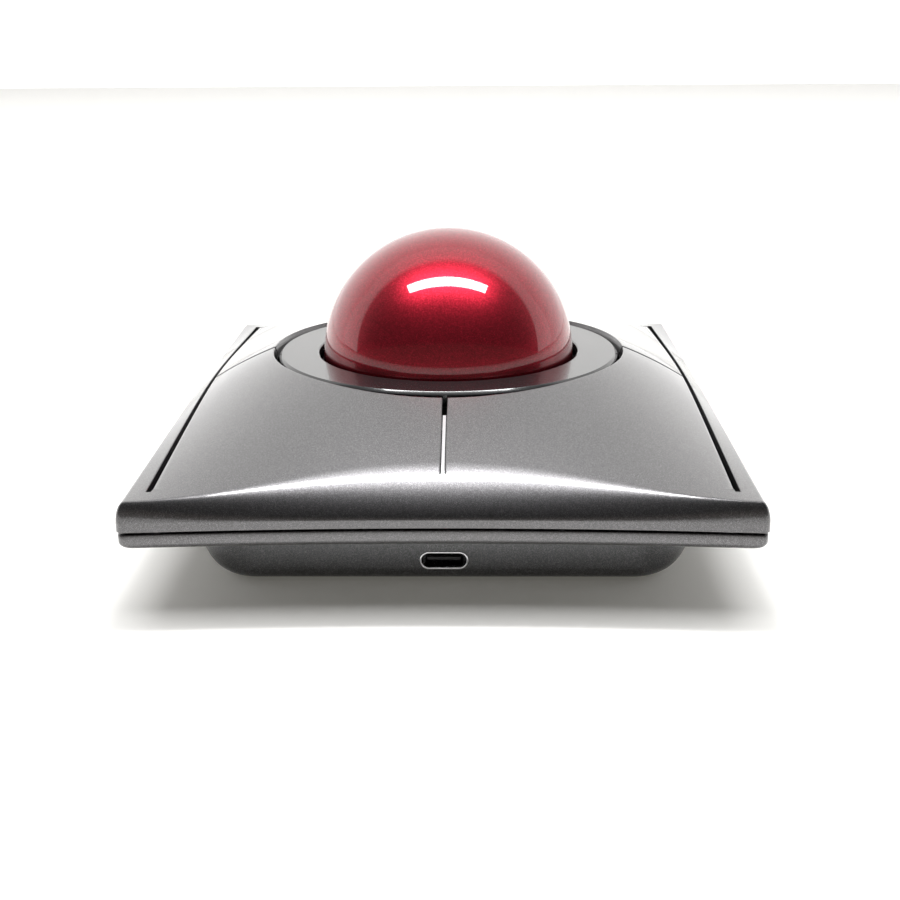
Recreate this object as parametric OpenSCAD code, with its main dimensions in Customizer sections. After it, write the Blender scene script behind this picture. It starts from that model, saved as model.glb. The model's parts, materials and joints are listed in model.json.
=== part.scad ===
// Desktop trackball mouse: a low domed cover with four rocking button plates around a large ball,
// on a thin lower cover and an inset base. Origin: centre of the footprint on the desk, +Z up.
// The front, at -Y, carries the USB-C socket.

/* [Body] */
// Width of the body
body_w = 116; // [108:0.5:150]
// Depth of the body at its corners
body_d = 147; // [138:0.5:185]
// How far the front and rear edges bow inwards at their middles
edge_bow = 2.6; // [0:0.1:5]
// Height of the parting line between the top and lower covers
seam_z = 16.5; // [15.5:0.1:20]
// Dark gap at the parting line
seam_gap = 0.5; // [0.2:0.1:1]
// Height of the cover's flat corners
rail_z = 21.9; // [20:0.1:27]
// Height that the dome would reach above the corners at its hidden peak
dome_rise = 17; // [15:0.1:20]
// Wall of the top cover and of the button plates
cover_wall = 2; // [1.4:0.1:2.4]
// Wall of the lower cover
lower_wall = 1.8; // [1.2:0.1:2.4]
// Height of the lower cover's underside
lower_z = 13; // [12.6:0.1:13.6]

/* [Edges] */
// Straight foot of the cover's side wall
skirt_h = 1.2; // [0.6:0.1:2]
// Width of the rolled edge along the sides
roll_side = 1.8; // [1.5:0.1:4]
// Width of the rolled edge at the corners
roll_corner = 1.6; // [1.5:0.1:4]
// Width of the rolled edge at the middle of the front and rear
roll_mid = 11; // [6:0.5:12]
// Rounding of the lower cover's bottom edge
lower_round = 1.6; // [0.8:0.1:1.8]

/* [Ball] */
// Diameter of the ball
ball_d = 55; // [50:0.5:57]
// Height of the ball's centre
ball_z = 31.5; // [31.5:0.1:33]
// Gap between the ball and the ring's inner edge
ball_gap = 1; // [0.6:0.1:1.4]
// Width of the flat ring around the ball
ring_w = 8.8; // [7:0.1:10]
// Height of the ring's top face above the ball's centre
ring_above = 0.9; // [0.3:0.1:1.2]
// Gap around the outside of the ring
ring_gap = 1.2; // [0.8:0.1:1.6]
// Diameter of the three bearings that carry the ball
bearing_d = 2.5; // [2:0.1:3]
// Running gap between the ball and its bearings
bearing_gap = 0.1; // [0.05:0.01:0.2]

/* [Buttons] */
// Distance of the side slits from the middle
slit_x = 52.8; // [50:0.1:53]
// Width of the side slits
slit_w = 1; // [0.7:0.1:1.4]
// Width of the slit between the front pair of buttons, and between the rear pair
centre_slit_w = 0.88; // [0.6:0.02:1.4]
// Width of the slit between the front and rear buttons
split_w = 0.8; // [0.5:0.1:1.2]
// Distance of the button roots from the middle
root_y = 66.6; // [60:0.1:67]
// Gap at the root, where the moulding bends
root_gap = 0.35; // [0.25:0.05:0.6]
// Distance of the button switches from the middle, sideways
switch_x = 44; // [42:0.1:46]
// Distance of the button switches from the middle, lengthways
switch_y = 16; // [12:0.1:20]

/* [Base] */
// Width of the base
base_w = 96.8; // [92:0.2:112]
// Depth of the base
base_d = 115; // [112:0.5:140]
// Corner radius of the base
base_r = 12.5; // [11:0.5:24]
// Wall of the base
base_wall = 1.8; // [1.4:0.1:2.2]
// Height of the base's underside above the desk
base_z = 0.8; // [0.6:0.1:1]
// Rounding under the base's sides
base_roll_side = 8; // [4:0.5:9]
// Rounding under the base's front and rear
base_roll_end = 2.5; // [1.5:0.1:4]
// Diameter of the feet
foot_d = 12; // [8:0.5:14]
// Distance of the feet and base screws from the middle, sideways
foot_x = 33; // [28:0.5:38]
// Distance of the feet and base screws from the middle, lengthways
foot_y = 43; // [40:0.5:50]

/* [Electronics] */
// Height of the USB-C socket's centre above the desk
port_z = 4.9; // [4.8:0.1:5.2]
// Width of the USB-C socket's shell
port_w = 8.94;
// Height of the USB-C socket's shell
port_h = 3.26;
// Thickness of the circuit boards
board_t = 1.2; // [0.8:0.1:1.6]
// Travel of the mode slider each side of its middle place
slider_travel = 2; // [1:0.1:2.5]
// Travel of the pairing button
pair_travel = 0.3; // [0.2:0.05:0.4]

/* [Hidden] */
$fn = 64;
ball_r = ball_d / 2;
half_w = body_w / 2;
half_d = body_d / 2;
ring_in = ball_r + ball_gap;
ring_out = ring_in + ring_w;
ring_top = ball_z + ring_above;
ring_t = 1.6;
hole_r = ring_out + ring_gap;

// Dome shape: how flat it is across the width, and how round its ridge is along the depth
across_power = 2.5;
ridge_round = 0.3;
dome_reach = half_d - 1.5;

// Ball socket: an open-bottomed bowl with a flange that carries the ring
socket_gap = 1.1;
socket_in = ball_r + socket_gap;
socket_t = 1.8;
socket_out = socket_in + socket_t;
socket_hole_r = 14;
flange_t = 2;
flange_z = 27.2;
flange_r = ring_out - 0.4;
post_ring_r = 33.4;
post_r = 2.8;

// Where the lower cover lets the socket through
opening_x = 41;
opening_y = 34;
opening_r = 3;
plate_top = lower_z + lower_wall;
lower_inset = 0.2;

// Main board, hung over the USB-C socket
board_z = port_z + port_h / 2 + 0.05;
board_front = base_d / 2 - base_wall - 1.6;
board_step = 38;
board_rear = 28.5;
board_narrow = 28;
board_wide = 41;
floor_top = base_z + base_wall;

// Button switches on their side boards
side_board_z = plate_top + 0.8;
side_board_in = 37.8;
side_board_out = 50.5;
side_board_front = 31;
side_board_rear = 24;
switch_size = [5.8, 12.8, 6.5];
side_screw_x = switch_x + switch_size[0] / 2 + 1.7;
plunger_r = 0.9;
plunger_fit = 0.06;
plunger_out = 1;
plunger_depth = 2.6;
actuator_gap = 0.08;
actuator_r = 1.6;

// Underside controls
control_x = 18;
control_y = 40;
slider_cap = [4, 3];
pair_cap_r = 2.4;

// Optical sensors look at the ball from each side, tilted down
sensor_tilt = 35;
sensor_r = ball_r + 3.4;

screw_r = 1.1;
screw_head_r = 1.8;
corner_x = half_w - 4;
corner_y = half_d - 4.6;
corner_boss_r = 2.2;

// ---- The cover's shape ----

// Half depth of the body at a distance x from the middle
function edge_y(x) = half_d - edge_bow * (1 - pow(x / half_w, 2));

// Width of the rolled edge at a distance x from the middle
function roll_y(x) = roll_corner + (roll_mid - roll_corner) * pow(1 - min(1, pow(x / half_w, 2)), 2);

// How far a point lies into a rolled edge: 0 where the roll starts, 1 at the wall
function into_roll(distance, width) = min(1, max(0, 1 - distance / width));

// The dome's share of its peak height, across the width and along the depth
function dome_across(x) = 1 - pow(min(1, abs(x) / half_w), across_power);
function dome_along(y) =
    let (y_share = y / dome_reach, edge = sqrt(1 + pow(ridge_round, 2)))
    (edge - sqrt(pow(y_share, 2) + pow(ridge_round, 2))) / (edge - ridge_round);
function dome_z(x, y) = rail_z + dome_rise * dome_across(x) * dome_along(y);

// Height of a skin that lies inset inside the outer surface on every side
function skin_z(x, y, inset) =
    let (sx = into_roll(half_w - inset - abs(x), roll_side),
        sy = into_roll(edge_y(x) - inset - abs(y), roll_y(x)),
        foot = seam_z + skirt_h - inset)
    foot + (dome_z(x, y) - inset - foot) * sqrt(max(0, 1 - sx * sx - sy * sy));

// Half depth of that skin, with its plan corners rounded
function skin_edge(x, inset) =
    let (sx = into_roll(half_w - inset - abs(x), roll_side))
    edge_y(x) - inset - roll_y(x) * (1 - sqrt(max(0, 1 - sx * sx)));

function skin_points(inset, columns, rows, floor_z) = [
    for (level = [1, 0], i = [0 : columns], j = [0 : rows])
        let (x = (half_w - inset) * sin(180 * i / columns - 90),
            y = skin_edge(x, inset) * sin(180 * j / rows - 90))
        [x, y, level == 1 ? skin_z(x, y, inset) : floor_z]
];

function two_triangles(a, b, c, d) = [[a, b, c], [a, c, d]];
function skin_faces(columns, rows) =
    let (w = rows + 1, low = (columns + 1) * (rows + 1))
    [for (i = [0 : columns - 1], j = [0 : rows - 1])
        let (a = i * w + j)
        each concat(two_triangles(a, a + 1, a + w + 1, a + w),
            two_triangles(low + a, low + a + w, low + a + w + 1, low + a + 1)),
    for (i = [0 : columns - 1])
        let (a = i * w, b = i * w + rows)
        each concat(two_triangles(low + a, a, a + w, low + a + w),
            two_triangles(low + b + w, b + w, b, low + b)),
    for (j = [0 : rows - 1])
        let (a = j, b = columns * w + j)
        each concat(two_triangles(low + a + 1, a + 1, a, low + a),
            two_triangles(low + b, b, b + 1, low + b + 1))];

// Everything under a skin, down to floor_z
module under_skin(inset, columns, rows, floor_z)
    polyhedron(skin_points(inset, columns, rows, floor_z), skin_faces(columns, rows), convexity = 4);

module cover_shell() difference() {
    under_skin(0, 40, 44, seam_z);
    under_skin(cover_wall, 24, 28, seam_z - 3);
}

// One closed skin, kept as a single moulding
module moulding() resize([0, 0, 0]) children();

module copy_corners(x, y) for (sx = [-1, 1], sy = [-1, 1]) translate([sx * x, sy * y, 0]) children();
module rod(r, z0, z1, sides = 64) translate([0, 0, z0]) cylinder(r = r, h = z1 - z0, $fn = sides);
module block(x0, x1, y0, y1, z0, z1) translate([x0, y0, z0]) cube([x1 - x0, y1 - y0, z1 - z0]);
module rounded(half_x, half_y, r) hull() copy_corners(half_x - r, half_y - r) circle(r = r);

// ---- Covers ----

// The narrow floor seen through a centre slit, carried by the lip
module slit_floor(side) {
    floor_inset = cover_wall + 0.6;
    floor_low = seam_z + 0.3;
    intersection() {
        difference() {
            under_skin(floor_inset, 24, 28, seam_z - 3);
            under_skin(floor_inset + 1.2, 24, 28, seam_z - 4);
        }
        scale([1, side, 1]) block(-1.7, 1.7, 44, root_y + 1.8, floor_low, 40);
    }
    intersection() {
        under_skin(1, 24, 28, seam_z - 1.5);
        scale([1, side, 1]) block(-1.7, 1.7, root_y + 0.6, root_y + 1.8, floor_low, 40);
    }
}

module top_cover() color("#5b5b5f") moulding() difference() {
    union() {
        difference() {
            cover_shell();
            block(-slit_x - slit_w / 2, slit_x + slit_w / 2, -root_y - root_gap / 2,
                root_y + root_gap / 2, 10, 50);
        }
        for (side = [-1, 1]) slit_floor(side);
        intersection() {
            copy_corners(corner_x, corner_y) rod(corner_boss_r, seam_z, 40, 32);
            under_skin(1, 24, 28, seam_z - 1);
        }
    }
    copy_corners(corner_x, corner_y) rod(screw_r / cos(180 / 32), seam_z - 1, seam_z + 4.2, 32);
}

// A button plate: side is -1 left or 1 right, end is -1 front or 1 rear
module button_plate(side, end) color("#5b5b5f") moulding() scale([side, end, 1]) {
    difference() {
        cover_shell();
        difference() {
            block(-90, 90, -110, 110, 0, 60);
            block(centre_slit_w / 2, slit_x - slit_w / 2, split_w / 2, root_y - root_gap / 2, 5, 55);
        }
        rod(hole_r, 0, 60);
    }
    translate([switch_x, switch_y, 0]) difference() {
        rod(actuator_r, plunger_top() + actuator_gap, dome_z(switch_x, switch_y) - cover_wall / 2);
        rod(0.4, 0, plunger_top() + 1);
    }
}
module front_left_button() button_plate(-1, -1);
module front_right_button() button_plate(1, -1);
module rear_left_button() button_plate(-1, 1);
module rear_right_button() button_plate(1, 1);

// Outline of the lower cover, inset by a distance
function lower_edge(x, inset) =
    let (sx = into_roll(half_w - inset - abs(x), roll_corner))
    edge_y(x) - inset - roll_corner * (1 - sqrt(max(0, 1 - sx * sx)));
function lower_outline(inset, steps = 32) = [
    for (end = [-1, 1], i = [0 : steps])
        let (x = (half_w - inset) * sin(-end * (180 * i / steps - 90)))
        [x, end * lower_edge(x, inset)]
];

// A solid stacked from outlines of equal count, from its top level down
module stacked(levels, outlines) {
    count = len(outlines[0]);
    last = len(levels) - 1;
    points = [for (l = [0 : last], p = outlines[l]) [p[0], p[1], levels[l]]];
    sides = [for (l = [0 : last - 1], i = [0 : count - 1])
        let (a = l * count + i, b = l * count + (i + 1) % count)
        each two_triangles(a, b, b + count, a + count)];
    polyhedron(points, concat(sides, [[for (i = [count - 1 : -1 : 0]) i]],
        [[for (i = [0 : count - 1]) last * count + i]]), convexity = 4);
}

// The lower cover's outer shape, drawn in as it rounds under
module lower_solid() {
    turns = [0 : 18 : 90];
    levels = concat([seam_z - seam_gap], [for (a = turns) lower_z + lower_round * (1 - sin(a))]);
    insets = concat([0], [for (a = turns) lower_round * (1 - cos(a))]);
    stacked(levels, [for (i = insets) lower_outline(lower_inset + i)]);
}

module lower_cover() color("#66666a") moulding() difference() {
    union() {
        difference() {
            lower_solid();
            translate([0, 0, plate_top]) linear_extrude(10) polygon(lower_outline(lower_wall + 0.4));
            translate([0, 0, lower_z - 1]) linear_extrude(10) rounded(opening_x, opening_y, opening_r);
        }
        translate([0, 0, plate_top - 0.3]) linear_extrude(seam_z - plate_top + 0.2) difference() {
            polygon(lower_outline(lower_inset + lower_wall + 0.8));
            polygon(lower_outline(lower_inset + lower_wall + 1.8));
        }
        copy_corners(foot_x, foot_y) rod(3.2, lower_z + 0.5, plate_top + 4, 32);
        copy_corners(side_screw_x, side_board_rear - 3) rod(2, lower_z + 0.5, side_board_z, 24);
        copy_corners(corner_x, corner_y) rod(corner_boss_r, lower_z + 1, seam_z, 24);
    }
    copy_corners(foot_x, foot_y) rod(screw_r / cos(180 / 24), lower_z - 1, plate_top + 3, 24);
    copy_corners(corner_x, corner_y) {
        rod(screw_r + 0.05, lower_z - 1, seam_z + 1, 24);
        rod(screw_head_r + 0.1, lower_z - 1, lower_z + 1.5, 32);
    }
    copy_corners(side_screw_x, side_board_rear - 3) rod(0.7 / cos(180 / 16), plate_top - 1, side_board_z + 1, 16);
}

// ---- Ball and its socket ----

module ball() color("#a01428") translate([0, 0, ball_z]) sphere(r = ball_r, $fn = 128);

module ball_ring() color("#4c4c50") rotate_extrude($fn = 128) polygon([
    [ring_in, ring_top - ring_t], [ring_in, ring_top - 0.5], [ring_in + 0.5, ring_top],
    [ring_out - 0.6, ring_top], [ring_out, ring_top - 0.6], [ring_out, ring_top - ring_t - 0.6],
    [ring_out - 0.8, ring_top - ring_t - 0.6], [ring_out - 0.8, flange_z + flange_t],
    [ring_out - 2, flange_z + flange_t], [ring_out - 2, ring_top - ring_t]]);

// Points a piece from the ball's centre, outwards and down
module aimed(turn, tilt) translate([0, 0, ball_z]) rotate([0, 90 + tilt, turn]) children();

module ball_socket() color("#2a2a2c") difference() {
    union() {
        difference() {
            translate([0, 0, ball_z]) sphere(r = socket_out, $fn = 128);
            rod(60, flange_z + flange_t, 80);
            rod(socket_hole_r, -10, ball_z);
        }
        rod(flange_r, flange_z, flange_z + flange_t);
        for (turn = [0, 180]) aimed(turn, sensor_tilt) rod(6.4, socket_out - 1.5, socket_out + 1.6);
        for (turn = [90, 210, 330]) aimed(turn, 40) rod(3, socket_out - 1.5, socket_out + 1);
    }
    translate([0, 0, ball_z]) sphere(r = socket_in, $fn = 128);
    for (turn = [0, 180]) aimed(turn, sensor_tilt) rod(3.2, 20, socket_out + 5);
    for (turn = [90, 210, 330]) aimed(turn, 40)
        rod(bearing_d / 2 + 0.03, 20, ball_r + bearing_gap + bearing_d + 0.05);
    for (turn = [45 : 90 : 315]) rotate(turn) translate([post_ring_r, 0, 0])
        rod(screw_r + 0.1, flange_z - 1, flange_z + flange_t + 1);
}

module support_bearings() color("#e8e6e0") for (turn = [90, 210, 330]) aimed(turn, 40)
    translate([0, 0, ball_r + bearing_gap + bearing_d / 2]) sphere(r = bearing_d / 2);

// ---- Base ----

// How far the base's side is drawn in at a height, for a rounding that ends at a level
function drawn_in(z, low, size) =
    z >= low + size ? 0 : size * (1 - sqrt(max(0, 1 - pow((low + size - z) / size, 2))));

// A rounded rectangle with its corners at the base's corner radius
function base_outline(inset_x, inset_y, steps = 8) = [
    for (q = [0 : 3], i = [0 : steps])
        let (a = 90 * (q + i / steps), r = base_r - max(inset_x, inset_y),
            sx = q == 0 || q == 3 ? 1 : -1, sy = q < 2 ? 1 : -1)
        [sx * (base_w / 2 - inset_x - r) + r * cos(a), sy * (base_d / 2 - inset_y - r) + r * sin(a)]
];

// The base's outer shape, or its inside when inset
module tub(inset, z_low, z_high) {
    levels = concat([z_high], [for (a = [0 : 15 : 60]) z_low + base_roll_side * (1 - sin(a))],
        [for (a = [60 : 10 : 90]) z_low + base_roll_side * (1 - sin(a)) * 0.98]);
    stacked(levels, [for (z = levels)
        base_outline(inset + drawn_in(z, z_low, base_roll_side), inset + drawn_in(z, z_low, base_roll_end))]);
}

// Outline of the USB-C socket's shell, drawn outwards by a margin
module port_outline(margin) {
    for (s = [-1, 1]) translate([s * (port_w - port_h) / 2, 0]) circle(r = port_h / 2 + margin);
    square([port_w - port_h, port_h + 2 * margin], center = true);
}
module port_prism(margin, y0, y1) translate([0, y1, port_z]) rotate([90, 0, 0])
    linear_extrude(y1 - y0) port_outline(margin);

module base_shell() color("#434346") difference() {
    union() {
        difference() {
            tub(0, base_z, lower_z);
            tub(base_wall, floor_top, lower_z + 1);
        }
        copy_corners(foot_x, foot_y) rod(3.4, floor_top - 0.5, lower_z, 32);
        for (turn = [45 : 90 : 315]) rotate(turn) translate([post_ring_r, 0, 0])
            rod(post_r, floor_top - 0.5, flange_z, 32);
        for (s = [-1, 1]) translate([s * 28, -board_step + 3, 0])
            rod(2.2, floor_top - 0.5, board_z, 24);
    }
    port_prism(0.12, -80, -board_front + 3);
    copy_corners(foot_x, foot_y) {
        rod(screw_r + 0.1, -1, lower_z + 1);
        rod(screw_head_r + 0.2, -1, base_z + 3);
        rod(foot_d / 2 + 0.1, -1, base_z + 0.5);
    }
    for (turn = [45 : 90 : 315]) rotate(turn) translate([post_ring_r, 0, 0])
        rod(screw_r, flange_z - 7, flange_z + 1);
    for (s = [-1, 1]) translate([s * 28, -board_step + 3, 0]) rod(0.8, floor_top + 0.5, board_z + 1);
    translate([-control_x, -control_y, -1]) linear_extrude(5)
        square([slider_cap[0] + 2 * slider_travel + 0.8, slider_cap[1] + 0.6], center = true);
    translate([control_x, -control_y, 0]) rod(pair_cap_r + 0.1, -1, floor_top + 1);
}

module feet() color("#1c1c1c") copy_corners(foot_x, foot_y) rod(foot_d / 2, 0, base_z + 0.5);

// ---- Electronics ----

module main_board() color("#1f5a38") difference() {
    union() {
        block(-board_narrow, board_narrow, -board_front, -board_rear, board_z, board_z + board_t);
        block(-board_wide, board_wide, -board_step, -board_rear, board_z, board_z + board_t);
    }
    for (s = [-1, 1]) translate([s * 28, -board_step + 3, 0]) rod(0.9, board_z - 1, board_z + 3);
}

module board_chips() color("#18181a") {
    block(-9, -2, -45, -38, board_z + board_t, board_z + board_t + 1);
    block(6, 11, -46, -41, board_z + board_t, board_z + board_t + 0.9);
    block(-22, -18, -47, -44, board_z + board_t, board_z + board_t + 0.8);
}

module usb_shell() color("#c8c9cc") difference() {
    port_prism(0, -board_front - 3.1, -board_front + 4.3);
    port_prism(-0.3, -board_front - 4, -board_front + 3.9);
}

module usb_tongue() color("#202022")
    block(-3.2, 3.2, -board_front - 2.3, -board_front + 3.9, port_z - 0.35, port_z + 0.35);

module battery() color("#8d9094") block(-25, 25, 27, 51, floor_top, floor_top + 6);

module battery_lead() color("#a8281e") {
    block(18, 20.6, -board_rear - 1, 27, floor_top, floor_top + 0.8);
    block(17.4, 21.2, -board_rear - 4, -board_rear - 1, floor_top, board_z);
}

// A switch board on one side: side is -1 left or 1 right
module switch_board(side) color("#1f5a38") scale([side, 1, 1]) difference() {
    block(side_board_in, side_board_out, -side_board_front, side_board_rear,
        side_board_z, side_board_z + board_t);
    for (s = [-1, 1]) translate([side_screw_x, s * (side_board_rear - 3), 0])
        rod(0.8, side_board_z - 1, side_board_z + 3);
}
module left_switch_board() switch_board(-1);
module right_switch_board() switch_board(1);

function switch_top() = side_board_z + board_t + switch_size[2];
function plunger_top() = switch_top() + plunger_out;

module microswitches() color("#26262a") copy_corners(switch_x, switch_y) difference() {
    translate([-switch_size[0] / 2, -switch_size[1] / 2, side_board_z + board_t]) cube(switch_size);
    rod(plunger_r + plunger_fit, switch_top() - plunger_depth, switch_top() + 1);
}

module plunger(side, end) color("#d8d4c8") translate([side * switch_x, end * switch_y, 0])
    rod(plunger_r, plunger_top() - plunger_depth, plunger_top());
module front_left_plunger() plunger(-1, -1);
module front_right_plunger() plunger(1, -1);
module rear_left_plunger() plunger(-1, 1);
module rear_right_plunger() plunger(1, 1);

module board_links() color("#e4e0d4") for (s = [-1, 1])
    scale([s, 1, 1]) block(side_board_in + 0.2, side_board_in + 2, -side_board_front,
        -board_rear - 0.2, board_z + board_t, side_board_z);

module sensor_board(turn) color("#1f5a38") aimed(turn, sensor_tilt)
    block(-5, 5, -6, 6, sensor_r + 5.4, sensor_r + 6.4);
module left_sensor_board() sensor_board(180);
module right_sensor_board() sensor_board(0);

module sensor_chips() color("#18181a") for (turn = [0, 180]) aimed(turn, sensor_tilt)
    block(-4, 4, -4.5, 4.5, sensor_r + 3.2, sensor_r + 5.4);

module sensor_lenses() color([0.8, 0.85, 0.9, 0.5]) for (turn = [0, 180]) aimed(turn, sensor_tilt) {
    rod(3.1, ball_r + 1.6, sensor_r + 1);
    rod(4.6, socket_out + 1.6, sensor_r + 3.2);
}

module sensor_flexes() color("#b06a28") for (s = [-1, 1]) scale([s, 1, 1]) {
    block(28.2, 30.2, -board_rear - 2, 2, 4, 4.3);
    block(28.2, 30.2, -board_rear - 2.3, -board_rear - 2, 4, board_z);
    block(28.2, 30.2, 2, 2.3, 4, 6.4);
}

module mode_switch_body() color("#3a3a3e")
    translate([-control_x, -control_y, 0]) block(-4.3, 4.3, -1.8, 1.8, floor_top + 0.5, board_z);

module mode_slider() color("#d9d9d9") translate([-control_x, -control_y, 0])
    block(-slider_cap[0] / 2, slider_cap[0] / 2, -slider_cap[1] / 2, slider_cap[1] / 2,
        base_z - 0.3, floor_top + 0.4);

module pair_switch_body() color("#3a3a3e") translate([control_x, -control_y, 0])
    block(-2.6, 2.6, -2.6, 2.6, floor_top + 0.2 + pair_travel + 0.1, board_z);

module pair_button() color("#d9d9d9") translate([control_x, -control_y, 0])
    rod(pair_cap_r, base_z - 0.2, floor_top + 0.2);

// ---- Screws ----

// A pan-head screw that points up, its head's underside at z = 0
module screw(r, head_r, head_h, length) {
    rod(head_r, -head_h, 0);
    rod(r, -0.2, length);
}

module cover_screws() color("#8f9296") copy_corners(corner_x, corner_y)
    translate([0, 0, lower_z + 1.5]) screw(screw_r, screw_head_r, 1.2, 5.5);

module base_screws() color("#8f9296") copy_corners(foot_x, foot_y)
    translate([0, 0, base_z + 3]) screw(screw_r, screw_head_r, 1.5, plate_top - base_z - 0.5);

module socket_screws() color("#8f9296") for (turn = [45 : 90 : 315])
    rotate(turn) translate([post_ring_r, 0, flange_z + flange_t]) mirror([0, 0, 1])
        screw(screw_r, screw_head_r, 1.2, 8);

module side_board_screws() color("#8f9296") copy_corners(side_screw_x, side_board_rear - 3)
    translate([0, 0, side_board_z + board_t]) mirror([0, 0, 1]) screw(0.7, 1.5, 0.8, 2.4);

module main_board_screws() color("#8f9296") for (s = [-1, 1])
    translate([s * 28, -board_step + 3, board_z + board_t]) mirror([0, 0, 1])
        screw(0.8, 1.7, 0.9, 4);

top_cover();
front_left_button();
front_right_button();
rear_left_button();
rear_right_button();
ball_ring();
ball();
ball_socket();
support_bearings();
lower_cover();
base_shell();
feet();
main_board();
board_chips();
usb_shell();
usb_tongue();
battery();
battery_lead();
left_switch_board();
right_switch_board();
microswitches();
front_left_plunger();
front_right_plunger();
rear_left_plunger();
rear_right_plunger();
board_links();
left_sensor_board();
right_sensor_board();
sensor_chips();
sensor_lenses();
sensor_flexes();
mode_switch_body();
mode_slider();
pair_switch_body();
pair_button();
cover_screws();
base_screws();
socket_screws();
side_board_screws();
main_board_screws();
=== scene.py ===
import json
from math import acos, asin, cos, hypot, pi, radians, sin, sqrt

import bmesh
import bpy
from mathutils import Matrix, Vector


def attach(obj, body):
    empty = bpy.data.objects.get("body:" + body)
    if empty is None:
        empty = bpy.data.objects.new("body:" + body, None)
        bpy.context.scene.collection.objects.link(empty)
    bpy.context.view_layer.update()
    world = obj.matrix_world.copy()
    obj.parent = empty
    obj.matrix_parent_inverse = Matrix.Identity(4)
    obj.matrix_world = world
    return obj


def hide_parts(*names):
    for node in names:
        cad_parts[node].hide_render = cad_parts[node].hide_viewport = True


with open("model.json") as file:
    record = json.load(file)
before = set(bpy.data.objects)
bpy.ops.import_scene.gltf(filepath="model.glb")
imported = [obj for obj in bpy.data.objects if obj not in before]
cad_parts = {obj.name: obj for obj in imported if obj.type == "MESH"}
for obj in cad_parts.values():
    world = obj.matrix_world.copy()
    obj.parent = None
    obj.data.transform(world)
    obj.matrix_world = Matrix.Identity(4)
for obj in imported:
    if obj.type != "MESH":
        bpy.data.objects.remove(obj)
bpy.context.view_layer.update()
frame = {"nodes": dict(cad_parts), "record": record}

# ---- Studio ----
# A white floor that sweeps up into a wall, a white room behind and above, and a darker room in
# front of the device. A short strip lamp hangs close above the front of the ball.

studio = bpy.context.scene
studio.view_settings.view_transform = "Standard"

# The floor runs back to the sweep, which curves up into the wall; all in metres
FLOOR_REACH, SWEEP_Y, SWEEP_R, WALL_TOP = 6.0, 1.6, 1.0, 4.0
sweep = [(-FLOOR_REACH, 0), (SWEEP_Y, 0)]
sweep += [(SWEEP_Y + SWEEP_R * sin(radians(a)), SWEEP_R * (1 - cos(radians(a)))) for a in range(6, 91, 6)]
sweep += [(SWEEP_Y + SWEEP_R, WALL_TOP)]
floor_mesh = bmesh.new()
sweep_line = [floor_mesh.verts.new((-FLOOR_REACH, y, z)) for y, z in sweep]
sweep_edges = [floor_mesh.edges.new(pair) for pair in zip(sweep_line, sweep_line[1:])]
sheet = bmesh.ops.extrude_edge_only(floor_mesh, edges=sweep_edges)["geom"]
bmesh.ops.translate(floor_mesh, vec=(2 * FLOOR_REACH, 0, 0),
                    verts=[g for g in sheet if isinstance(g, bmesh.types.BMVert)])
bmesh.ops.recalc_face_normals(floor_mesh, faces=floor_mesh.faces)
if floor_mesh.faces[:][0].normal.z < 0:
    bmesh.ops.reverse_faces(floor_mesh, faces=floor_mesh.faces)
floor_data = bpy.data.meshes.new("studio_floor")
floor_mesh.to_mesh(floor_data)
floor_mesh.free()
studio_floor = bpy.data.objects.new("studio_floor", floor_data)
studio.collection.objects.link(studio_floor)

paper = bpy.data.materials.new("studio_paper")
paper.use_nodes = True
paper_shader = paper.node_tree.nodes["Principled BSDF"]
paper_shader.inputs["Base Color"].default_value = (0.93, 0.925, 0.91, 1)
paper_shader.inputs["Roughness"].default_value = 0.9
paper_shader.inputs["Specular IOR Level"].default_value = 0.1
paper_shader.inputs["Emission Color"].default_value = (1.0, 0.97, 0.86, 1)
paper_shader.inputs["Emission Strength"].default_value = 0.085
wall_white = paper.copy()
wall_white.name = "studio_wall"
wall_shader = wall_white.node_tree.nodes["Principled BSDF"]
wall_shader.inputs["Emission Color"].default_value = (1, 1, 1, 1)
wall_shader.inputs["Emission Strength"].default_value = 0.9
floor_data.materials.append(paper)
floor_data.materials.append(wall_white)
for polygon in floor_data.polygons:
    polygon.material_index = 1 if polygon.center.y > SWEEP_Y else 0

room = bpy.data.worlds.new("studio_room")
room.use_nodes = True
studio.world = room
room_nodes, room_links = room.node_tree.nodes, room.node_tree.links
sky = room_nodes["Background"]
towards = room_nodes.new("ShaderNodeTexCoord")
axes = room_nodes.new("ShaderNodeSeparateXYZ")
forward = room_nodes.new("ShaderNodeMath")
forward.operation = "MULTIPLY"
forward.inputs[1].default_value = -1
tilt = room_nodes.new("ShaderNodeMath")
tilt.operation = "ARCTAN2"
share = room_nodes.new("ShaderNodeMath")
share.operation = "DIVIDE"
share.inputs[1].default_value = pi
walls = room_nodes.new("ShaderNodeValToRGB")
# Each stop: degrees up from the front horizon, over the top, to the rear horizon; then its light
ROOM = ((0, (0.20, 0.18, 0.16)), (19, (0.17, 0.15, 0.135)), (23, (0.07, 0.07, 0.07)), (62, (0.10, 0.10, 0.10)),
        (101, (0.20, 0.20, 0.20)), (108, (1.4, 1.4, 1.38)), (180, (1.6, 1.6, 1.58)))
while len(walls.color_ramp.elements) < len(ROOM):
    walls.color_ramp.elements.new(0.5)
for stop, (angle, light) in zip(walls.color_ramp.elements, ROOM):
    stop.position = angle / 180
    stop.color = (*light, 1)
room_links.new(towards.outputs["Generated"], axes.inputs[0])
room_links.new(axes.outputs["Y"], forward.inputs[0])
room_links.new(axes.outputs["Z"], tilt.inputs[0])
room_links.new(forward.outputs[0], tilt.inputs[1])
room_links.new(tilt.outputs[0], share.inputs[0])
room_links.new(share.outputs[0], walls.inputs["Fac"])
room_links.new(walls.outputs["Color"], sky.inputs["Color"])
sky.inputs["Strength"].default_value = 1.0


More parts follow.
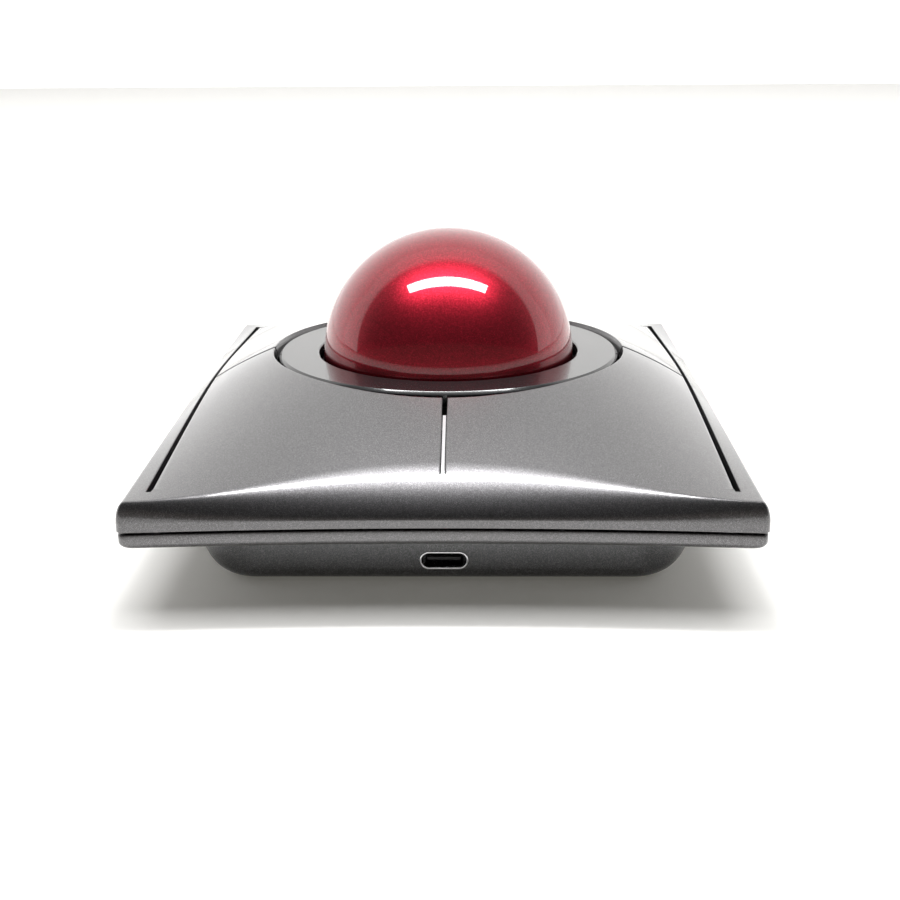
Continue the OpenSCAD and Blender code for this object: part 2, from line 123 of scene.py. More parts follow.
def lamp(name, place, aim, width, depth, watts, mirrored=True):
    """A rectangular lamp; one that isn't mirrored gives light but doesn't show in gloss."""
    light = bpy.data.lights.new(name, "AREA")
    light.shape, light.size, light.size_y, light.energy = "RECTANGLE", width, depth, watts
    lit = bpy.data.objects.new(name, light)
    lit.location = place
    lit.rotation_euler = (Vector(aim) - Vector(place)).to_track_quat("-Z", "Y").to_euler()
    lit.visible_glossy = mirrored
    studio.collection.objects.link(lit)


lamp("strip_lamp", (0.0, -0.033, 0.128), (0.0, -0.033, 0.0), 0.108, 0.016, 0.20)
lamp("soft_top", (0.0, 0.25, 1.4), (0.0, 0.0, 0.0), 1.6, 1.6, 24, mirrored=False)

shot = bpy.data.cameras.new("camera")
shot.lens, shot.sensor_width = 56.8, 36.0
shot.shift_y, shot.clip_start = -0.0022, 0.01
camera = bpy.data.objects.new("camera", shot)
camera.location = (0.006, -0.3075, 0.1061)
TURN, LOOK_DOWN, LEAN = 1.08, 17.5, -0.39
turned = Matrix.Rotation(radians(TURN), 3, "Z") @ Matrix.Rotation(radians(90 - LOOK_DOWN), 3, "X")
camera.rotation_euler = (turned @ Matrix.Rotation(radians(LEAN), 3, "Z")).to_euler()
studio.collection.objects.link(camera)
studio.camera = camera

# ---- Base ----
# A satin moulded tub under the device, well inside the covers' outline. Its sides roll far under,
# its front and rear only a little. The socket, the slider and the pairing button pass through it.

MM = 0.001
JOIN = 0.0005
BASE_W, BASE_D, BASE_R = 96.8, 115.0, 12.5
BASE_LOW, BASE_TOP = 0.8, 13.0
ROLL_SIDE, ROLL_END = 8.0, 2.5
PORT_W, PORT_H, PORT_Z, PORT_GAP = 8.94, 3.26, 4.9, 0.2
FOOT_X, FOOT_Y, FOOT_R, FOOT_TOP, FOOT_GAP = 33, 43, 6, 1.3, 0.1
SLIDER_AT, SLIDER_SLOT, PAIR_AT, PAIR_HOLE = (-18, -40), (8.8, 3.6, 6), (18, -40), 2.5


def laid_grid(bm, columns, rows, place):
    """A grid whose points are moved to place(column, row)."""
    made = bmesh.ops.create_grid(bm, x_segments=columns, y_segments=rows, size=1)["verts"]
    for v in made:
        i, j = round((v.co.x + 1) / 2 * columns), round((v.co.y + 1) / 2 * rows)
        v.co = place(i, j)
    return made


def fitted(bm, name, material, crease=35):
    """Makes a finished piece of a bmesh in millimetres, with edges sharp beyond crease degrees."""
    bmesh.ops.scale(bm, vec=(MM, MM, MM), verts=bm.verts)
    data = bpy.data.meshes.new(name)
    bm.to_mesh(data)
    bm.free()
    data.shade_smooth()
    data.set_sharp_from_angle(angle=radians(crease))
    data.materials.append(material)
    made = bpy.data.objects.new(name, data)
    studio.collection.objects.link(made)
    return made


def cut(made, cutters, crease=35):
    """Cuts closed shapes out of a piece and deletes them."""
    for cutter in cutters:
        slice_ = made.modifiers.new("cut", "BOOLEAN")
        slice_.operation, slice_.solver, slice_.object = "DIFFERENCE", "EXACT", cutter
    bpy.context.view_layer.update()
    seen = made.evaluated_get(bpy.context.evaluated_depsgraph_get())
    data = bpy.data.meshes.new_from_object(seen)
    made.modifiers.clear()
    made.data = data
    data.shade_smooth()
    data.set_sharp_from_angle(angle=radians(crease))
    for cutter in cutters:
        bpy.data.objects.remove(cutter)


def rod(r, z0, z1, at, sides=48):
    """An upright cylinder, in millimetres."""
    bm = bmesh.new()
    bmesh.ops.create_cone(bm, cap_ends=True, segments=sides, radius1=r, radius2=r, depth=z1 - z0)
    bmesh.ops.translate(bm, vec=(at[0], at[1], (z0 + z1) / 2), verts=bm.verts)
    return bm


def port_prism(margin, y0, y1, sides=64):
    """A prism along the depth with the socket's round-ended section, margin wider all round."""
    bm = bmesh.new()
    h = PORT_H / 2 + margin
    reach = (PORT_W - PORT_H) / 2
    bmesh.ops.create_cone(bm, cap_ends=True, segments=sides, radius1=h, radius2=h, depth=abs(y1 - y0))
    for v in bm.verts:
        x, y, along = v.co.x, v.co.y, v.co.z
        shift = reach if x > 1e-6 else -reach if x < -1e-6 else 0
        v.co = (x + shift, (y0 + y1) / 2 + along, PORT_Z + y)
    bmesh.ops.recalc_face_normals(bm, faces=bm.faces)
    return bm


def drawn_in(z, size):
    """How far the base's wall has rolled in at a height, for a roll of the given size."""
    if z >= BASE_LOW + size:
        return 0
    return size * (1 - sqrt(max(0, 1 - ((BASE_LOW + size - z) / size) ** 2)))


def base_point(k, steps, z):
    """A point of the base's outline, k steps round a quarter at a time."""
    dx, dy = drawn_in(z, ROLL_SIDE), drawn_in(z, ROLL_END)
    quarter, i = divmod(k, steps + 1)
    quarter %= 4
    angle = pi / 2 * (quarter + i / steps)
    r = BASE_R - max(dx, dy)
    sx = 1 if quarter in (0, 3) else -1
    sy = 1 if quarter in (0, 1) else -1
    return (sx * (BASE_W / 2 - dx - r) + r * cos(angle), sy * (BASE_D / 2 - dy - r) + r * sin(angle), z)


def flake_group():
    """Fine flakes under a clear coat: each cell has its own brightness."""
    group = bpy.data.node_groups.new("metal_flakes", "ShaderNodeTree")
    for name, kind, value in (("Ground", "NodeSocketColor", (0.1, 0.1, 0.1, 1)),
                              ("Flake", "NodeSocketColor", (0.5, 0.5, 0.5, 1)),
                              ("Density", "NodeSocketFloat", 3000.0), ("Share", "NodeSocketFloat", 3.0)):
        group.interface.new_socket(name, in_out="INPUT", socket_type=kind).default_value = value
    group.interface.new_socket("Color", in_out="OUTPUT", socket_type="NodeSocketColor")
    group.interface.new_socket("Sparkle", in_out="OUTPUT", socket_type="NodeSocketFloat")
    n, l = group.nodes, group.links
    given, out = n.new("NodeGroupInput"), n.new("NodeGroupOutput")
    where = n.new("ShaderNodeTexCoord")
    cells = n.new("ShaderNodeTexVoronoi")
    split = n.new("ShaderNodeSeparateColor")
    few = n.new("ShaderNodeMath")
    few.operation = "POWER"
    mix = n.new("ShaderNodeMix")
    mix.data_type = "RGBA"
    l.new(where.outputs["Object"], cells.inputs["Vector"])
    l.new(given.outputs["Density"], cells.inputs["Scale"])
    l.new(cells.outputs["Color"], split.inputs[0])
    l.new(split.outputs[0], few.inputs[0])
    l.new(given.outputs["Share"], few.inputs[1])
    l.new(few.outputs[0], mix.inputs["Factor"])
    l.new(given.outputs["Ground"], mix.inputs["A"])
    l.new(given.outputs["Flake"], mix.inputs["B"])
    l.new(mix.outputs["Result"], out.inputs["Color"])
    l.new(few.outputs[0], out.inputs["Sparkle"])
    return group


FLAKES = flake_group()


def flaked(name, ground, flake, metallic, roughness, coat, coat_roughness, density):
    """Paint with flakes in it: only the coat is a mirror. Density is in flakes per metre."""
    material = bpy.data.materials.new(name)
    material.use_nodes = True
    n, l = material.node_tree.nodes, material.node_tree.links
    shader = n["Principled BSDF"]
    group = n.new("ShaderNodeGroup")
    group.node_tree = FLAKES
    group.inputs["Ground"].default_value = (*ground, 1)
    group.inputs["Flake"].default_value = (*flake, 1)
    group.inputs["Density"].default_value = density
    l.new(group.outputs["Color"], shader.inputs["Base Color"])
    shader.inputs["Metallic"].default_value = metallic
    shader.inputs["Roughness"].default_value = roughness
    shader.inputs["Coat Weight"].default_value = coat
    shader.inputs["Coat Roughness"].default_value = coat_roughness
    return material


base_paint = flaked("base_satin", (0.060, 0.061, 0.063), (0.16, 0.16, 0.165), 0.7, 0.34, 0.5, 0.18, 9000)

base_mesh = bmesh.new()
BASE_STEPS = 20
base_levels = [BASE_TOP, 11.0] + [BASE_LOW + ROLL_SIDE * (1 - sin(radians(a))) for a in range(0, 61, 10)]
base_levels += [BASE_LOW + ROLL_END * (1 - sin(radians(a))) for a in range(0, 91, 10)]
base_levels = sorted(set(round(z, 4) for z in base_levels), reverse=True)
around = 4 * (BASE_STEPS + 1)
laid_grid(base_mesh, around, len(base_levels) - 1, lambda i, j: base_point(i, BASE_STEPS, base_levels[j]))
bmesh.ops.remove_doubles(base_mesh, verts=base_mesh.verts, dist=JOIN)
bmesh.ops.holes_fill(base_mesh, edges=[e for e in base_mesh.edges if e.is_boundary])
bmesh.ops.recalc_face_normals(base_mesh, faces=base_mesh.faces)
base = fitted(base_mesh, "base", base_paint)
slot_cut = bmesh.new()
bmesh.ops.create_cube(slot_cut, size=1)
bmesh.ops.scale(slot_cut, vec=SLIDER_SLOT, verts=slot_cut.verts)
bmesh.ops.translate(slot_cut, vec=(*SLIDER_AT, 0), verts=slot_cut.verts)
base_cutters = [port_prism(PORT_GAP, -70, -50), slot_cut, rod(PAIR_HOLE, -2, 3.2, PAIR_AT)]
base_cutters += [rod(FOOT_R + FOOT_GAP, -2, FOOT_TOP, (x, y))
                 for x in (-FOOT_X, FOOT_X) for y in (-FOOT_Y, FOOT_Y)]
cut(base, [fitted(c, "cutter", base_paint) for c in base_cutters])
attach(base, "housing")
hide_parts("base_shell")

# ---- Feet ----
# Four low-friction discs, glued into shallow recesses over the base screws.



def uneven(name, color, smooth, rough, grain, metallic=0.0):
    """A finish whose roughness wanders between smooth and rough."""
    material = bpy.data.materials.new(name)
    material.use_nodes = True
    n, l = material.node_tree.nodes, material.node_tree.links
    shader = n["Principled BSDF"]
    where, noise = n.new("ShaderNodeTexCoord"), n.new("ShaderNodeTexNoise")
    gloss = n.new("ShaderNodeMapRange")
    noise.name = "noise"
    noise.inputs["Scale"].default_value = grain
    gloss.inputs["To Min"].default_value = smooth
    gloss.inputs["To Max"].default_value = rough
    l.new(where.outputs["Object"], noise.inputs["Vector"])
    l.new(noise.outputs["Fac"], gloss.inputs["Value"])
    l.new(gloss.outputs["Result"], shader.inputs["Roughness"])
    shader.inputs["Base Color"].default_value = (*color, 1)
    shader.inputs["Metallic"].default_value = metallic
    return material


slick = uneven("slick_black", (0.012, 0.012, 0.013), 0.35, 0.6, 900)
FOOT_EDGE = 0.3
for side, end, foot_name in ((-1, -1, "front_left_foot"), (1, -1, "front_right_foot"),
                             (-1, 1, "rear_left_foot"), (1, 1, "rear_right_foot")):
    foot_mesh = rod(FOOT_R, 0, FOOT_TOP, (side * FOOT_X, end * FOOT_Y), 64)
    rims = [e for e in foot_mesh.edges if max(v.co.z for v in e.verts) < 0.1]
    bmesh.ops.bevel(foot_mesh, geom=rims, offset=FOOT_EDGE, segments=3, profile=0.5, affect="EDGES",
                    material=-1)
    foot = fitted(foot_mesh, foot_name, slick)
    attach(foot, "housing")
    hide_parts("feet")

# ---- USB-C socket ----
# A plated steel shell, drawn with a rounded lip that stands just inside the base's front wall,
# around a black tongue with its row of contacts.

plated = uneven("plated_steel", (0.72, 0.72, 0.74), 0.14, 0.26, 1500, 1.0)

SHELL_SIDES = 64
# The shell's section: distance out from the shell's own outline, and depth
SHELL_PATH = ((-0.32, -49.9), (-0.32, -57.0), (-0.28, -57.35), (-0.16, -57.52), (0.0, -57.56), (0.14, -57.5),
              (0.2, -57.36), (0.16, -57.2), (0.0, -57.1), (0.0, -49.8), (-0.32, -49.8))
shell_mesh = bmesh.new()


def shell_point(i, j):
    margin, y = SHELL_PATH[j]
    angle = 2 * pi * i / SHELL_SIDES
    r = PORT_H / 2 + margin
    reach = (PORT_W - PORT_H) / 2 * (1 if cos(angle) > 1e-6 else -1 if cos(angle) < -1e-6 else 0)
    return (reach + r * cos(angle), y, PORT_Z + r * sin(angle))


laid_grid(shell_mesh, SHELL_SIDES, len(SHELL_PATH) - 1, shell_point)
bmesh.ops.remove_doubles(shell_mesh, verts=shell_mesh.verts, dist=JOIN)
bmesh.ops.holes_fill(shell_mesh, edges=[e for e in shell_mesh.edges if e.is_boundary])
bmesh.ops.recalc_face_normals(shell_mesh, faces=shell_mesh.faces)
usb_shell = fitted(shell_mesh, "usb_c_shell", plated, 40)
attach(usb_shell, "housing")
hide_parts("usb_shell")

blade_mesh = bmesh.new()
bmesh.ops.create_cube(blade_mesh, size=1)
bmesh.ops.scale(blade_mesh, vec=(6.4, 6.2, 0.7), verts=blade_mesh.verts)
bmesh.ops.translate(blade_mesh, vec=(0, -53.3, PORT_Z), verts=blade_mesh.verts)
bmesh.ops.bevel(blade_mesh, geom=blade_mesh.edges[:], offset=0.12, segments=2, profile=0.5, affect="EDGES",
                material=-1)
blade = fitted(blade_mesh, "usb_c_tongue", slick)
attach(blade, "housing")
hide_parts("usb_tongue")

# Twelve contacts, half a millimetre apart
CONTACTS, CONTACT_STEP = 12, 0.5
contact_mesh = bmesh.new()
for k in range(CONTACTS):
    pad = bmesh.ops.create_cube(contact_mesh, size=1)["verts"]
    bmesh.ops.scale(contact_mesh, vec=(0.26, 3.2, 0.72), verts=pad)
    bmesh.ops.translate(contact_mesh, vec=((k - CONTACTS / 2 + 0.5) * CONTACT_STEP, -54.2, PORT_Z), verts=pad)
contacts = fitted(contact_mesh, "usb_c_contacts", plated)
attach(contacts, "housing")

# ---- Lower cover ----
# The body's underside: a shallow moulding in the same flake paint as the top, rounded under all
# round, with a rib that keeps light out of the parting line.

HALF_W, HALF_D, EDGE_BOW = 58.0, 73.5, 2.6
SEAM_Z, SEAM_GAP = 16.5, 0.5
LOWER_Z, LOWER_WALL, LOWER_ROUND, LOWER_INSET = 13.0, 1.8, 1.6, 0.2
ROLL_CORNER = 1.6
RIB_OUT, RIB_IN = 2.8, 3.8
SCREW_X, SCREW_Y, SCREW_R, SCREW_TOP = 54.0, 68.9, 1.9, 14.5


def edge_y(x):
    """Half depth of the body at a distance x from its middle."""
    return HALF_D - EDGE_BOW * (1 - (x / HALF_W) ** 2)


def into_roll(distance, width):
    """How far into a rolled edge a point lies: 0 at its start, 1 at the very edge."""
    return min(1.0, max(0.0, 1 - distance / width))


COVER_STEPS = 64


def lower_point(k, inset, shrink):
    """A point of the lower cover's outline, counted along the front, then along the rear."""
    end, i = (-1, k) if k <= COVER_STEPS else (1, k - COVER_STEPS - 1)
    if k > 2 * COVER_STEPS + 1:
        end, i = -1, 0
    half = HALF_W - LOWER_INSET - inset
    x = half * sin(-end * radians(180 * i / COVER_STEPS - 90))
    s = into_roll(half - abs(x), ROLL_CORNER)
    y = end * (edge_y(x) - LOWER_INSET - inset - ROLL_CORNER * (1 - sqrt(max(0, 1 - s * s))))
    return x * shrink[0], y * shrink[1]


gunmetal = flaked("gunmetal_flake", (0.072, 0.070, 0.073), (0.18, 0.176, 0.182), 0.9, 0.3, 1.0, 0.02, 11000)

# The section, from the opening over the rib and the wall, round the bottom and back, as
# (inset, height, shrink): the opening is the same outline, shrunk
WHOLE, OPENING = (1, 1), (41 / 57.8, 34 / 70.3)
FLOOR_Z, WALL_Z, RIB_Z = LOWER_Z + LOWER_WALL, SEAM_Z - SEAM_GAP, SEAM_Z - 0.1
LOWER_PATH = [(0, FLOOR_Z, OPENING)]
LOWER_PATH += [(inset, z, WHOLE) for inset, z in (
    (RIB_IN, FLOOR_Z), (RIB_IN, RIB_Z), (RIB_OUT, RIB_Z), (RIB_OUT, FLOOR_Z), (2.2, FLOOR_Z), (2.2, WALL_Z),
    (0.25, WALL_Z), (0.07, WALL_Z - 0.07), (0, WALL_Z - 0.25), (0, LOWER_Z + LOWER_ROUND + 0.4))]
LOWER_PATH += [(LOWER_ROUND * (1 - cos(radians(a))), LOWER_Z + LOWER_ROUND * (1 - sin(radians(a))), WHOLE)
               for a in range(0, 91, 9)]
LOWER_PATH += [(0, LOWER_Z, OPENING), (0, FLOOR_Z, OPENING)]


def lower_place(i, j):
    inset, z, shrink = LOWER_PATH[j]
    return (*lower_point(i, inset, shrink), z)


lower_mesh = bmesh.new()
laid_grid(lower_mesh, 2 * COVER_STEPS + 2, len(LOWER_PATH) - 1, lower_place)
bmesh.ops.remove_doubles(lower_mesh, verts=lower_mesh.verts, dist=JOIN)
bmesh.ops.recalc_face_normals(lower_mesh, faces=lower_mesh.faces)
lower_cover = fitted(lower_mesh, "lower_cover_shell", gunmetal, 40)
cut(lower_cover, [fitted(rod(SCREW_R, LOWER_Z - 1, SCREW_TOP, (x, y), 32), "cutter", gunmetal)
                  for x in (-SCREW_X, SCREW_X) for y in (-SCREW_Y, SCREW_Y)], 40)
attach(lower_cover, "housing")
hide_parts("lower_cover")

# ---- Electronics and fixings ----
# Boards, cells, switches, lenses and screws inside the housing, each with its own plain finish.


def plain(name, color, roughness, metallic=0.0, grain=700, spread=0.12, alpha=1.0):
    """A plain finish with a little unevenness in its gloss and its tone."""
    material = uneven(name, color, roughness - spread / 2, roughness + spread / 2, grain, metallic)
    n, l = material.node_tree.nodes, material.node_tree.links
    shader, tone = n["Principled BSDF"], n.new("ShaderNodeMix")
    tone.data_type = "RGBA"
    tone.inputs["A"].default_value = (*(c * 0.88 for c in color), 1)
    tone.inputs["B"].default_value = (*color, 1)
    l.new(n["noise"].outputs["Fac"], tone.inputs["Factor"])
    l.new(tone.outputs["Result"], shader.inputs["Base Color"])
    shader.inputs["Alpha"].default_value = alpha
    return material


FINISHES = {
    "board_green": plain("solder_mask", (0.010, 0.095, 0.035), 0.35),
    "chip_black": plain("moulded_package", (0.015, 0.015, 0.016), 0.5),
    "cell_grey": plain("foil_wrap", (0.42, 0.43, 0.45), 0.35, 0.8, 300),
    "lead_red": plain("lead_insulation", (0.38, 0.02, 0.01), 0.45),
    "plunger_cream": plain("nylon", (0.62, 0.58, 0.48), 0.45),
    "lens_clear": plain("lens_plastic", (0.60, 0.68, 0.75), 0.1, spread=0.04, alpha=0.4),
    "flex_amber": plain("polyimide", (0.42, 0.14, 0.02), 0.35),
    "control_grey": plain("control_plastic", (0.58, 0.58, 0.58), 0.5),
    "screw_steel": plain("zinc_plate", (0.42, 0.43, 0.45), 0.3, 1.0, 1500),
    "dark_plastic": plain("dark_moulding", (0.020, 0.020, 0.022), 0.55),
    "ceramic": plain("polished_ceramic", (0.75, 0.73, 0.68), 0.1, spread=0.04),
}
for part in frame["record"]["subparts"]:
    if part["material_slot"] in FINISHES and part["node"] in frame["nodes"]:
        data = frame["nodes"][part["node"]].data
        data.materials.clear()
        data.materials.append(FINISHES[part["material_slot"]])

# ---- Ring ----
# A flat, turned ring in high gloss around the ball, with a fine chamfer on each edge.

RING_IN, RING_OUT, RING_TOP, RING_T = 28.5, 37.3, 32.4, 1.6
STEP_OUT, STEP_IN, FLANGE_TOP = 0.8, 2.0, 29.2
ring_black = flaked("ring_gloss", (0.008, 0.008, 0.009), (0.014, 0.014, 0.014), 0.0, 0.25, 0.6, 0.015, 6000)
# The section, as (radius, height): up the inside, over the top, down to the step on the flange
RING_PATH = ((RING_IN, RING_TOP - RING_T), (RING_IN, RING_TOP - 0.45), (RING_IN + 0.12, RING_TOP - 0.16),
             (RING_IN + 0.4, RING_TOP), (RING_OUT - 0.62, RING_TOP), (RING_OUT - 0.56, RING_TOP - 0.04),
             (RING_OUT - 0.06, RING_TOP - 0.54), (RING_OUT, RING_TOP - 0.62), (RING_OUT, RING_TOP - 2.2),
             (RING_OUT - STEP_OUT, RING_TOP - 2.2), (RING_OUT - STEP_OUT, FLANGE_TOP),
             (RING_OUT - STEP_IN, FLANGE_TOP), (RING_OUT - STEP_IN, RING_TOP - RING_T))
ring_mesh = bmesh.new()
ring_line = [ring_mesh.verts.new((r, 0, z)) for r, z in RING_PATH]
ring_edges = [ring_mesh.edges.new((a, b)) for a, b in zip(ring_line, ring_line[1:] + ring_line[:1])]
bmesh.ops.spin(ring_mesh, geom=ring_line + ring_edges, cent=(0, 0, 0), axis=(0, 0, 1), dvec=(0, 0, 0),
               angle=2 * pi, steps=192, use_merge=True)
bmesh.ops.remove_doubles(ring_mesh, verts=ring_mesh.verts, dist=JOIN)
bmesh.ops.recalc_face_normals(ring_mesh, faces=ring_mesh.faces)
ring = fitted(ring_mesh, "ring", ring_black, 25)
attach(ring, "housing")
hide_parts("ball_ring")

# ---- Ball ----
# A polished ball, candy red over pearl flakes under a thick clear layer.

BALL_R, BALL_Z = 27.5, 31.5
candy = flaked("candy_red", (0.17, 0.002, 0.009), (0.46, 0.012, 0.032), 0.92, 0.38, 1.0, 0.01, 9000)
ball_mesh = bmesh.new()
bmesh.ops.create_icosphere(ball_mesh, subdivisions=6, radius=BALL_R)
bmesh.ops.translate(ball_mesh, vec=(0, 0, BALL_Z), verts=ball_mesh.verts)
ball = fitted(ball_mesh, "red_ball", candy, 60)
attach(ball, "ball")
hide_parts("ball")

# ---- Top cover ----
# One glossy moulding in flake paint: side rails, rolled front and rear lips, and four button
# tongues between fine slits. The frame and each tongue are separate pieces, so the tongues can rock.

RAIL_Z, DOME_RISE, SKIRT_H = 21.9, 17.0, 1.2
ROLL_SIDE_TOP, ROLL_MID = 1.8, 11.0
DOME_REACH, RIDGE, ACROSS = HALF_D - 1.5, 0.3, 2.5
WALL = 1.9
# The side slits' two edges and ends; the tongues' roots; half the split and the centre slit
SLIT_IN, SLIT_OUT, SLIT_END = 52.3, 53.3, 67.5
ROOT_Y, SPLIT, CENTRE, CENTRE_END = 66.6, 0.4, 0.44, 63.5
HOLE_R, FILLET = 38.5, 0.32
# Lines at these distances from a slit draw its eased edge
FINE = (0, 0.03, 0.07, 0.12, 0.18, 0.25, 0.34)


def roll_y(x):
    """Depth of the rolled front or rear edge."""
    return ROLL_CORNER + (ROLL_MID - ROLL_CORNER) * (1 - min(1, (x / HALF_W) ** 2)) ** 2


def surface(x, y):
    """Height of the cover's outer surface."""
    edge = sqrt(1 + RIDGE ** 2)
    along = (edge - sqrt((y / DOME_REACH) ** 2 + RIDGE ** 2)) / (edge - RIDGE)
    dome = RAIL_Z + DOME_RISE * (1 - min(1, abs(x) / HALF_W) ** ACROSS) * along
    sx = into_roll(HALF_W - abs(x), ROLL_SIDE_TOP)
    sy = into_roll(edge_y(x) - abs(y), roll_y(x))
    foot = SEAM_Z + SKIRT_H
    return foot + (dome - foot) * sqrt(max(0, 1 - sx * sx - sy * sy))


def outline_y(x):
    """Half depth of the cover with its corners rounded."""
    s = into_roll(HALF_W - abs(x), ROLL_SIDE_TOP)
    return edge_y(x) - roll_y(x) * (1 - sqrt(max(0, 1 - s * s)))


def surface_normal(x, y):
    """Outward normal, level at the very edge."""
    step = 0.01
    if max(abs(x) - HALF_W, abs(y) - outline_y(min(HALF_W, abs(x)))) > -2 * step:
        sx = into_roll(HALF_W - abs(x), ROLL_SIDE_TOP) / ROLL_SIDE_TOP
        sy = into_roll(edge_y(x) - abs(y), roll_y(x)) / roll_y(x)
        flat = Vector((sx * (1 if x > 0 else -1), sy * (1 if y > 0 else -1), 0))
        if flat.length > 0:
            return flat.normalized()
    dx = (surface(x + step, y) - surface(x - step, y)) / (2 * step)
    dy = (surface(x, y + step) - surface(x, y - step)) / (2 * step)
    return Vector((-dx, -dy, 1)).normalized()


def eased(edges):
    """How far an eased edge drops, and its lean: edges holds (distance in, direction out) pairs."""
    drop, lean = 0.0, Vector((0, 0, 0))
    for distance, way in edges:
        if distance < FILLET:
            s = (FILLET - max(0, distance)) / FILLET
            drop = max(drop, FILLET * (1 - sqrt(max(0, 1 - s * s))))
            lean += Vector(way) * s
    return drop, lean


def cover_skin(name, bm, edges_at):
    """Thickens a laid-out sheet into a moulding with the true surface's normals on its face."""
    bmesh.ops.remove_doubles(bm, verts=bm.verts, dist=JOIN)
    face_tag = bm.faces.layers.int.new("face_up")
    normals = {v: surface_normal(v.co.x, v.co.y) for v in bm.verts}
    for v in bm.verts:
        drop, lean = eased(edges_at(v.co.x, v.co.y))
        v.co.z -= drop
        if lean.length > 0:
            s = min(1, lean.length)
            normals[v] = (normals[v] * sqrt(max(0, 1 - s * s)) + lean.normalized() * s).normalized()
    bmesh.ops.recalc_face_normals(bm, faces=bm.faces)
    if sum(f.normal.z for f in bm.faces) < 0:
        bmesh.ops.reverse_faces(bm, faces=bm.faces)
    tops = bm.faces[:]
    under = bmesh.ops.extrude_face_region(bm, geom=tops, use_keep_orig=True)["geom"]
    for v in (g for g in under if isinstance(g, bmesh.types.BMVert)):
        v.co -= surface_normal(v.co.x, v.co.y) * WALL
    for f in bm.faces:
        f[face_tag] = 0
    for f in tops:
        f[face_tag] = 1
    keep = {tuple(round(c, 4) for c in v.co): n for v, n in normals.items()}
    bmesh.ops.recalc_face_normals(bm, faces=bm.faces)
    made = fitted(bm, name, gunmetal, 40)
    data = made.data
    tags = data.attributes["face_up"].data
    loops = [None] * len(data.loops)
    for polygon in data.polygons:
        for li in polygon.loop_indices:
            normal = polygon.normal
            if tags[polygon.index].value:
                co = data.vertices[data.loops[li].vertex_index].co / MM
                normal = keep.get(tuple(round(c, 4) for c in co), normal)
            loops[li] = normal
    data.normals_split_custom_set(loops)
    return made


def spaced(start, stop, count):
    """Evenly spaced values, both ends among them."""
    return [start + (stop - start) * k / count for k in range(count + 1)]


# Lines across and along the frame, from its middle outwards
half_columns = spaced(0, CENTRE, 2) + spaced(CENTRE, SLIT_IN, 52)[1:] + [SLIT_OUT + f for f in FINE]
half_columns += spaced(SLIT_OUT + FINE[-1], HALF_W - ROLL_SIDE_TOP, 6)[1:]
half_columns += [HALF_W - ROLL_SIDE_TOP * (1 - sin(radians(a))) for a in range(6, 91, 6)]
columns_x = [-x for x in reversed(half_columns[1:])] + half_columns
half_rows = spaced(0, CENTRE_END, 42) + [CENTRE_END + f for f in (0.15, 0.4)] + spaced(64.2, ROOT_Y, 3)
half_rows += [ROOT_Y + 0.3, SLIT_END] + [SLIT_END + f for f in FINE[2:]]
rows_y = [-y for y in reversed(half_rows[1:])] + half_rows
# Rows over each rolled lip, and the last column and row, which drop to the seam
LIP = 26
FAR_X, FAR_Y = len(columns_x) + 1, len(rows_y) + 2 * LIP + 1
frame_mesh = bmesh.new()


def frame_place(i, j):
    x = columns_x[min(max(i - 1, 0), len(columns_x) - 1)]
    dropped = i in (0, FAR_X) or j in (0, FAR_Y)
    k = min(max(j - 1, 0), FAR_Y - 2) - LIP
    last = len(rows_y) - 1
    if 0 <= k <= last:
        y = rows_y[k]
    else:
        out = -k if k < 0 else k - last
        y = rows_y[-1] + (outline_y(x) - rows_y[-1]) * sin(pi / 2 * out / LIP)
        y = -y if k < 0 else y
    return (x, y, SEAM_Z if dropped else surface(x, y))


laid_grid(frame_mesh, FAR_X, FAR_Y, frame_place)
gone = []
for f in frame_mesh.faces:
    middle = f.calc_center_median()
    x, y = abs(middle.x), abs(middle.y)
    tongue_window = x < SLIT_IN and y < ROOT_Y and not (x < CENTRE and y > CENTRE_END)
    if tongue_window or (SLIT_IN <= x < SLIT_OUT and y < SLIT_END):
        gone.append(f)
bmesh.ops.delete(frame_mesh, geom=gone, context="FACES")


def frame_edges(x, y):
    """The frame's eased edges: the outer edges of the side slits."""
    if abs(y) < SLIT_END and abs(x) > SLIT_OUT - 0.01:
        return [(abs(x) - SLIT_OUT, (-1 if x > 0 else 1, 0, 0))]
    return []


cover_frame = cover_skin("cover_frame", frame_mesh, frame_edges)
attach(cover_frame, "housing")
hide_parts("top_cover")

# The bright ribs that stand in the two centre slits, a little below the surface
RIB_START, RIB_HALF, RIB_SUNK, RIB_H = 43.6, 0.3, 0.8, 2.6
for end, rib_name in ((-1, "front_slit_rib"), (1, "rear_slit_rib")):
    rib_mesh = bmesh.new()
    laid_grid(rib_mesh, 2, 40, lambda i, j: (
        (i - 1) * RIB_HALF, end * (RIB_START + j / 2), surface(0, RIB_START + j / 2) - RIB_SUNK))
    under_rib = bmesh.ops.extrude_face_region(rib_mesh, geom=rib_mesh.faces[:], use_keep_orig=True)["geom"]
    bmesh.ops.translate(rib_mesh, vec=(0, 0, -RIB_H),
                        verts=[g for g in under_rib if isinstance(g, bmesh.types.BMVert)])
    bmesh.ops.recalc_face_normals(rib_mesh, faces=rib_mesh.faces)
    slit_rib = fitted(rib_mesh, rib_name, plated)
    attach(slit_rib, "housing")

# ---- Button tongues ----
# Each runs from its root in the front or rear lip to the ring, with eased edges along its slits.

ARC_LINES, REACH_LINES = 44, 34


def stops(length, count):
    """Distances along a line, close together at its ends."""
    middle = spaced(FINE[-1], length - FINE[-1], count)
    return list(FINE[:-1]) + middle + [length - f for f in reversed(FINE[:-1])]


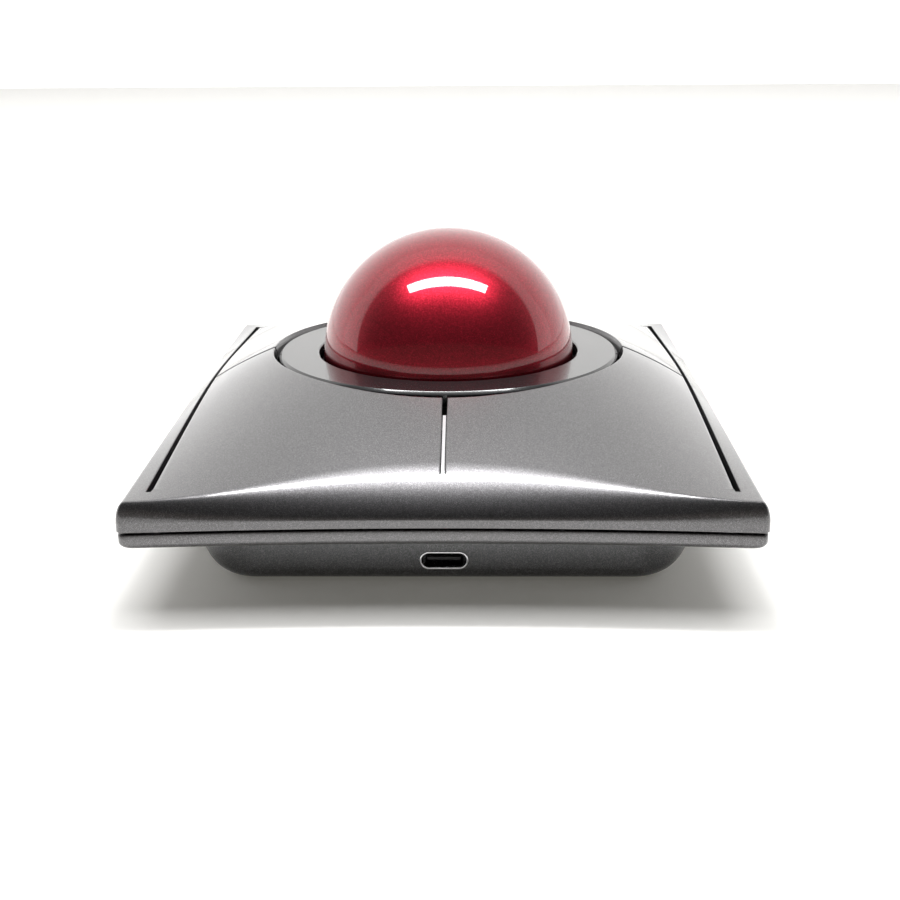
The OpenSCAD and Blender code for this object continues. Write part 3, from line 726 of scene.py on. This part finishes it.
arc_start, arc_end = asin(SPLIT / HOLE_R), acos(CENTRE / HOLE_R)
arc_stops = stops(HOLE_R * (arc_end - arc_start), ARC_LINES)
# The outer path runs along the side slit to the corner, which falls on a line, then along the root
side_length = ROOT_Y - SPLIT
path_length = side_length + SLIT_IN - CENTRE
outer_stops = list(FINE[:-1]) + spaced(FINE[-1], side_length, ARC_LINES // 2)[:-1]
outer_stops += spaced(side_length, path_length - FINE[-1], ARC_LINES // 2)
outer_stops += [path_length - f for f in reversed(FINE[:-1])]


def tongue_place(i, j):
    """A point of the tongue right of the middle and behind it, from the ring out to its edge."""
    angle = arc_start + arc_stops[i] / HOLE_R
    inner = Vector((HOLE_R * cos(angle), HOLE_R * sin(angle)))
    if i == 0:
        inner.y = SPLIT
    if i == len(arc_stops) - 1:
        inner.x = CENTRE
    run = outer_stops[i]
    outer = Vector((SLIT_IN - max(0, run - side_length), SPLIT + min(run, side_length)))
    reach = stops((outer - inner).length, REACH_LINES)
    return inner + (outer - inner).normalized() * reach[j]


def tongue_edges(x, y):
    """A tongue's eased edges: the ring's, the split's and the slits', but not the root's."""
    ax, ay = abs(x), abs(y)
    sx, sy = (1 if x > 0 else -1), (1 if y > 0 else -1)
    r = hypot(x, y)
    near = [(r - HOLE_R, (-x / r, -y / r, 0)), (ay - SPLIT, (0, -sy, 0)), (SLIT_IN - ax, (sx, 0, 0))]
    if ay < CENTRE_END:
        near.append((ax - CENTRE, (-sx, 0, 0)))
    return near


for side, end, tongue_name in ((-1, -1, "front_left_button"), (1, -1, "front_right_button"),
                               (-1, 1, "rear_left_button"), (1, 1, "rear_right_button")):
    tongue_mesh = bmesh.new()

    def laid(i, j):
        point = tongue_place(i, j)
        return (side * point.x, end * point.y, surface(point.x, point.y))

    laid_grid(tongue_mesh, len(arc_stops) - 1, REACH_LINES + 2 * (len(FINE) - 1), laid)
    button = cover_skin(tongue_name + "_tongue", tongue_mesh, tongue_edges)
    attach(button, tongue_name)
    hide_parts(tongue_name)
